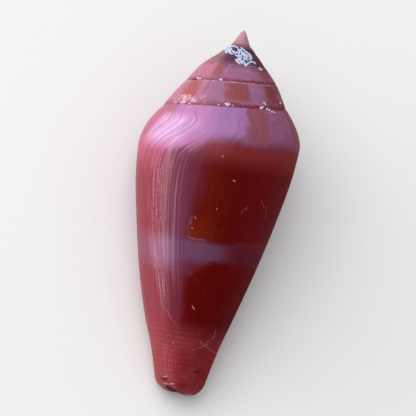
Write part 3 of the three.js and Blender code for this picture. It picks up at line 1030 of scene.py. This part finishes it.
def spire_colour(coat):
    """Lilac pink with brown bars, dull red just above each suture and grey-rose on top, with painted
    highlight spots on the left above the last suture."""
    f = coat.finish
    colour = f.lay(
        tint("pink spire"),
        (coat.tone.step(-0.8, -0.2), "lilac spire"),
        (coat.tone.step(0.5, 1.1), "spire at the right"),
        (coat.cloud.step(0.4, 0.7) * 0.45, "spire clouds"))
    dust = f.lay(
        tint("rose dust"),
        (coat.tone.step(-0.9, -0.3), "grey dust"),
        (coat.tone.step(0.5, 1.0), "brown dust"))
    dusty = (coat.depth + coat.ragged * 0.4).step(4.0, 2.9)
    colour = f.mix(dusty * 0.9, add_spire_bars(coat, colour), dust)
    seam = (coat.ramp + coat.ragged * 0.34 + coat.fine * 0.12).step(0.78, 0.94)
    seam = seam * coat.depth.step(3.2, 4.2) * (0.5 + coat.tone.step(-0.5, 0.2) * 0.4)
    # Painted highlight: pale gloss spots on the left just above the last suture.
    painted_glint = coat.bearing.between(-1.05, -0.45, 0.12, 0.12) * coat.ramp.between(0.66, 0.97, 0.08, 0.02)
    painted_glint = painted_glint * (coat.ragged + coat.fine * 0.3).step(-0.03, 0.07) * coat.depth.step(5.4, 6.0)
    return f.lay(
        colour,
        (seam, "seam"),
        (painted_glint * 0.6, "painted_glint"),
        (coat.depth.step(1.9, 0.9), "tip"),
        (coat.depth.step(0.9, 0.2) * 0.7, "tip end"))


def add_sutures(coat, colour):
    """A pale thread under each suture and painted shade, a dark line in the groove over it, both broken
    up.
    """
    thread = coat.spire * coat.ramp.between(-0.02, 0.035, 0.01, 0.012) * coat.ragged.step(-0.10, 0.10)
    # Painted shade in the groove just above each suture.
    crease_shade = coat.ramp.step(0.95, 0.985) * coat.spire * coat.ragged.step(0.16, -0.12)
    return coat.finish.lay(colour, (thread * 0.6, "thread"), (crease_shade * 0.28, "crease_shade"))


def painted_highlight_lines(coat):
    """Painted highlights along the growth lines: bright streaks on the left, three fine pale lines beside
    the patches and a pale fan over the shoulder where the edges bend."""
    dashes = coat.fine.step(-0.22, 0.08)
    strands = coat.lines.step(0.50, 0.57).highest(coat.hairs.step(0.54, 0.62) * 0.6)
    highlight_sheaf = coat.edge.between(*SHEAF_SIDES) * coat.depth.between(*SHEAF_DEPTHS) * strands * dashes
    wavering = coat.bent + coat.ragged * 0.02
    three = None
    for middle in map(math.radians, FINE_LINES):
        low, high = middle - FINE_LINE_HALF, middle + FINE_LINE_HALF
        here = wavering.between(low, high, FINE_LINE_SOFTNESS, FINE_LINE_SOFTNESS)
        three = here if three is None else three.highest(here)
    three = three * coat.depth.between(*FINE_LINE_DEPTHS) * (0.55 + dashes * 0.45)
    highlight_fan = coat.edge.between(*FAN_SIDES) * coat.depth.between(*FAN_DEPTHS)
    return highlight_sheaf, three, highlight_fan * (0.35 + coat.lines.step(0.42, 0.60) * 0.65)


def base_cords(coat):
    """Broken spiral cords round the base, for their relief and for the painted highlight on them."""
    cords = (coat.depth * (TAU / BASE_CORD_PITCH) + coat.ragged * 5.0).sine().step(0.1, 0.9)
    return cords * coat.depth.between(*BASE_CORD_DEPTHS) * coat.fine.step(-0.05, 0.2)


def ground_colour(coat, patch):
    """The shell's colours without its lines and marks."""
    f = coat.finish
    colour = add_belt(coat, add_shoulder(coat, flank_colour(coat)))
    colour = f.mix(patch, colour, patch_colour(coat))
    blush = coat.bearing.between(-0.40, 0.0, 0.2, 0.25) * coat.depth.between(10.6, 12.2, 0.6, 1.5)
    rim = patch.between(0.25, 0.6, 0.2, 0.2) * coat.bearing.between(-0.3, -0.05, 0.05, 0.05)
    rim = rim * coat.depth.between(18.2, 20.6, 0.4, 0.2)
    colour = f.lay(
        colour,
        (blush * 0.4, "blush"),
        (rim * 0.4, "patch rim"),
        (shoulder_bars(coat) * 0.9, "shoulder bar"))
    return add_sutures(coat, f.mix(coat.spire, colour, spire_colour(coat)))


def add_stain(coat, colour):
    """The grey stain that the crust sits on."""
    across = (coat.x - STAIN_MIDDLE[0]) / STAIN_SIZE[0]
    down = (coat.depth - STAIN_MIDDLE[1]) / STAIN_SIZE[1]
    stain = (across * across + down * down).step(1.1, 0.6) * coat.fine.step(-0.2, 0.1)
    return coat.finish.lay(colour, (stain * coat.y.step(0.2, -0.2) * 0.6, "stain"))


def shell_finish():
    """The shell: its ground colours, growth lines, painted highlights, painted shade, small marks and
    pale inside, glossy outside the patches."""
    f = Finish("glossy_shell")
    coat = Coat(f)
    patch = flank_patches(coat)
    calm = 1.0 - patch * 0.85
    highlight_sheaf, three, highlight_fan = painted_highlight_lines(coat)
    cords = base_cords(coat)
    scratch = marks(coat, SCRATCHES, SCRATCH_WIDTH)
    crack = marks(coat, CRACKS, CRACK_WIDTH) * coat.fine.step(-0.3, 0.0)
    pits = marks(coat, PITS, PIT_WIDTH)
    # Painted shade: the dark inside the chipped hollow at the base.
    chip_shade = marks(coat, SHADED_CHIP_HOLLOW, SHADED_CHIP_WIDTH) * coat.fine.step(-0.4, -0.05) * 0.95
    colour = f.lay(
        ground_colour(coat, patch),
        # Painted highlights: the pale streaks, the three fine lines and the fan on the left.
        (highlight_sheaf * 0.42, "highlight_sheaf"),
        (three * 0.36, "three lines"),
        (highlight_fan * 0.66, "highlight_fan"),
        (coat.growth.step(0.46, 0.32) * calm * 0.18, "dark growth"),
        (coat.lines.step(0.44, 0.34) * calm * coat.tone.step(0.1, -0.5) * 0.30, "dark lines"),
        # Painted highlight on the real cords round the base: pale only on the left, where they catch the
        # light.
        (cords * coat.tone.step(0.3, -0.7) * 0.34, "cords"),
        (scratch * 0.25, "scratch"),
        (crack * 0.28, "crack"),
        (pits * 0.6, "pit"),
        (marks(coat, FLECKS, FLECK_WIDTH).highest(chip_shade) * 0.9, "fleck_and_chip_shade"),
        (marks(coat, CHIP_RIM, CHIP_RIM_WIDTH) * coat.fine.step(-0.15, 0.1) * 0.75, "chip rim"))
    colour = add_stain(coat, colour)
    inside = f.node("ShaderNodeAttribute", {"attribute_name": "inside"}, output="Fac")
    nacre = f.lay(tint("pink inside"), (coat.cloud.step(0.3, 0.7), "lilac inside"))
    colour = f.mix(inside, colour, nacre)

    grooves = coat.spire * (coat.ramp.step(0.95, 1.0) + coat.ramp.step(0.04, 0.0))
    height = coat.lines * 0.9 + coat.hairs * 0.4 + coat.growth * 0.6 + coat.fine * 0.12
    height = height * calm - pits * 0.5 - scratch * 0.2 - crack * 0.3 + cords * 0.3 - grooves * 1.5
    roughness = 0.34 + coat.lines * 0.12 + coat.tone.step(0.6, 1.3) * 0.25
    gloss = (1.0 - patch * 0.9) * (1.0 - coat.tone.step(0.0, 0.9) * 0.9)
    return f.surface(colour, roughness, {
        "Normal": f.bump(height, 0.7, 0.06 * MM), "Specular IOR Level": 0.02,
        "Coat Weight": gloss * 0.22, "Coat Roughness": 0.13})


def crust_finish():
    """Chalky white, with painted bluish shade in the hollows of its grain and painted light on the raised
    grain.
    """
    f = Finish("white_crust")
    grainy = f.noise(shell_coordinates(f)[0], 7.0, 4.0, 0.7)
    layers = (grainy.step(0.30, 0.55), "crust"), (grainy.step(0.56, 0.72), "crust light")
    colour = f.lay(tint("crust shade"), *layers)
    sockets = {"Normal": f.bump(grainy, 0.6, 0.03 * MM), "Specular IOR Level": 0.3}
    return f.surface(colour, 0.55 + grainy * 0.4, sockets)


def grain_finish():
    """Glassy pale pink, with painted shade in the hollows of its bumps and painted light on their tops.
    """
    f = Finish("glassy_grains")
    speck = f.noise(shell_coordinates(f)[0], 5.0, 3.0, 0.6)
    colour = f.lay(tint("grain shade"), (speck.step(0.4, 0.6), "grain light"))
    sockets = {"Normal": f.bump(speck, 0.4, 0.03 * MM), "Specular IOR Level": 0.6}
    return f.surface(colour, 0.15 + speck * 0.3, sockets)


def floor_finish():
    return Finish("pale_floor").surface((0.86, 0.865, 0.87, 1), 0.9, {"Specular IOR Level": 0.1})


shell.data.materials.append(shell_finish())
crust.data.materials.append(crust_finish())
grains.data.materials.append(grain_finish())
floor_mesh.materials.append(floor_finish())

# ---------------------------------------------------------------- camera and light

VIEW_LEAN = math.radians(9.0)
VIEW_DISTANCE = 0.40
VIEW_WIDTH = 0.0394
VIEW_CENTRE = (-0.505, 0, 17.85)
SENSOR_WIDTH = 36
STUDIO_WHITE, STUDIO_STRENGTH = (1, 1, 1, 1), 0.48

to_camera = (LYING @ Vector((0, -1, 0))).normalized()
axis_up = (LYING @ Vector((0, 0, 1))).normalized()
axis_right = axis_up.cross(to_camera)
view_up = (axis_up * math.cos(VIEW_LEAN) - axis_right * math.sin(VIEW_LEAN)).normalized()
view_right = view_up.cross(to_camera)


def facing(position, target, up):
    back = (position - target).normalized()
    right = up.cross(back).normalized()
    turn = Matrix((right, back.cross(right), back)).transposed().to_4x4()
    return Matrix.Translation(position) @ turn


target = Vector(lay_down(np.array([VIEW_CENTRE]))[0].tolist())
camera = bpy.data.objects.new("camera", bpy.data.cameras.new("camera"))
camera.data.sensor_width = SENSOR_WIDTH
camera.data.lens = SENSOR_WIDTH * VIEW_DISTANCE / VIEW_WIDTH
camera.data.clip_start = 0.01
camera.matrix_world = facing(target + to_camera * VIEW_DISTANCE, target, view_up)
bpy.context.scene.collection.objects.link(camera)
bpy.context.scene.camera = camera


def soft_light(name, rightward, upward, towards, size, power):
    """A soft box, placed in the view's own directions and aimed at the shell."""
    data = bpy.data.lights.new(name, "AREA")
    data.shape = "RECTANGLE"
    data.size, data.size_y = size
    data.energy = power
    light = bpy.data.objects.new(name, data)
    spot = target + view_right * rightward + view_up * upward + to_camera * towards
    light.matrix_world = facing(spot, target, view_up)
    bpy.context.scene.collection.objects.link(light)


soft_light("left_box", rightward=-0.34, upward=0.08, towards=0.11, size=(0.06, 0.50), power=0.80)
soft_light("top_box", rightward=-0.10, upward=0.36, towards=0.48, size=(0.70, 0.70), power=3.0)

world = bpy.data.worlds.new("studio")
world.use_nodes = True
world.node_tree.nodes["Background"].inputs["Color"].default_value = STUDIO_WHITE
world.node_tree.nodes["Background"].inputs["Strength"].default_value = STUDIO_STRENGTH
bpy.context.scene.world = world
bpy.context.scene.view_settings.view_transform = "Standard"
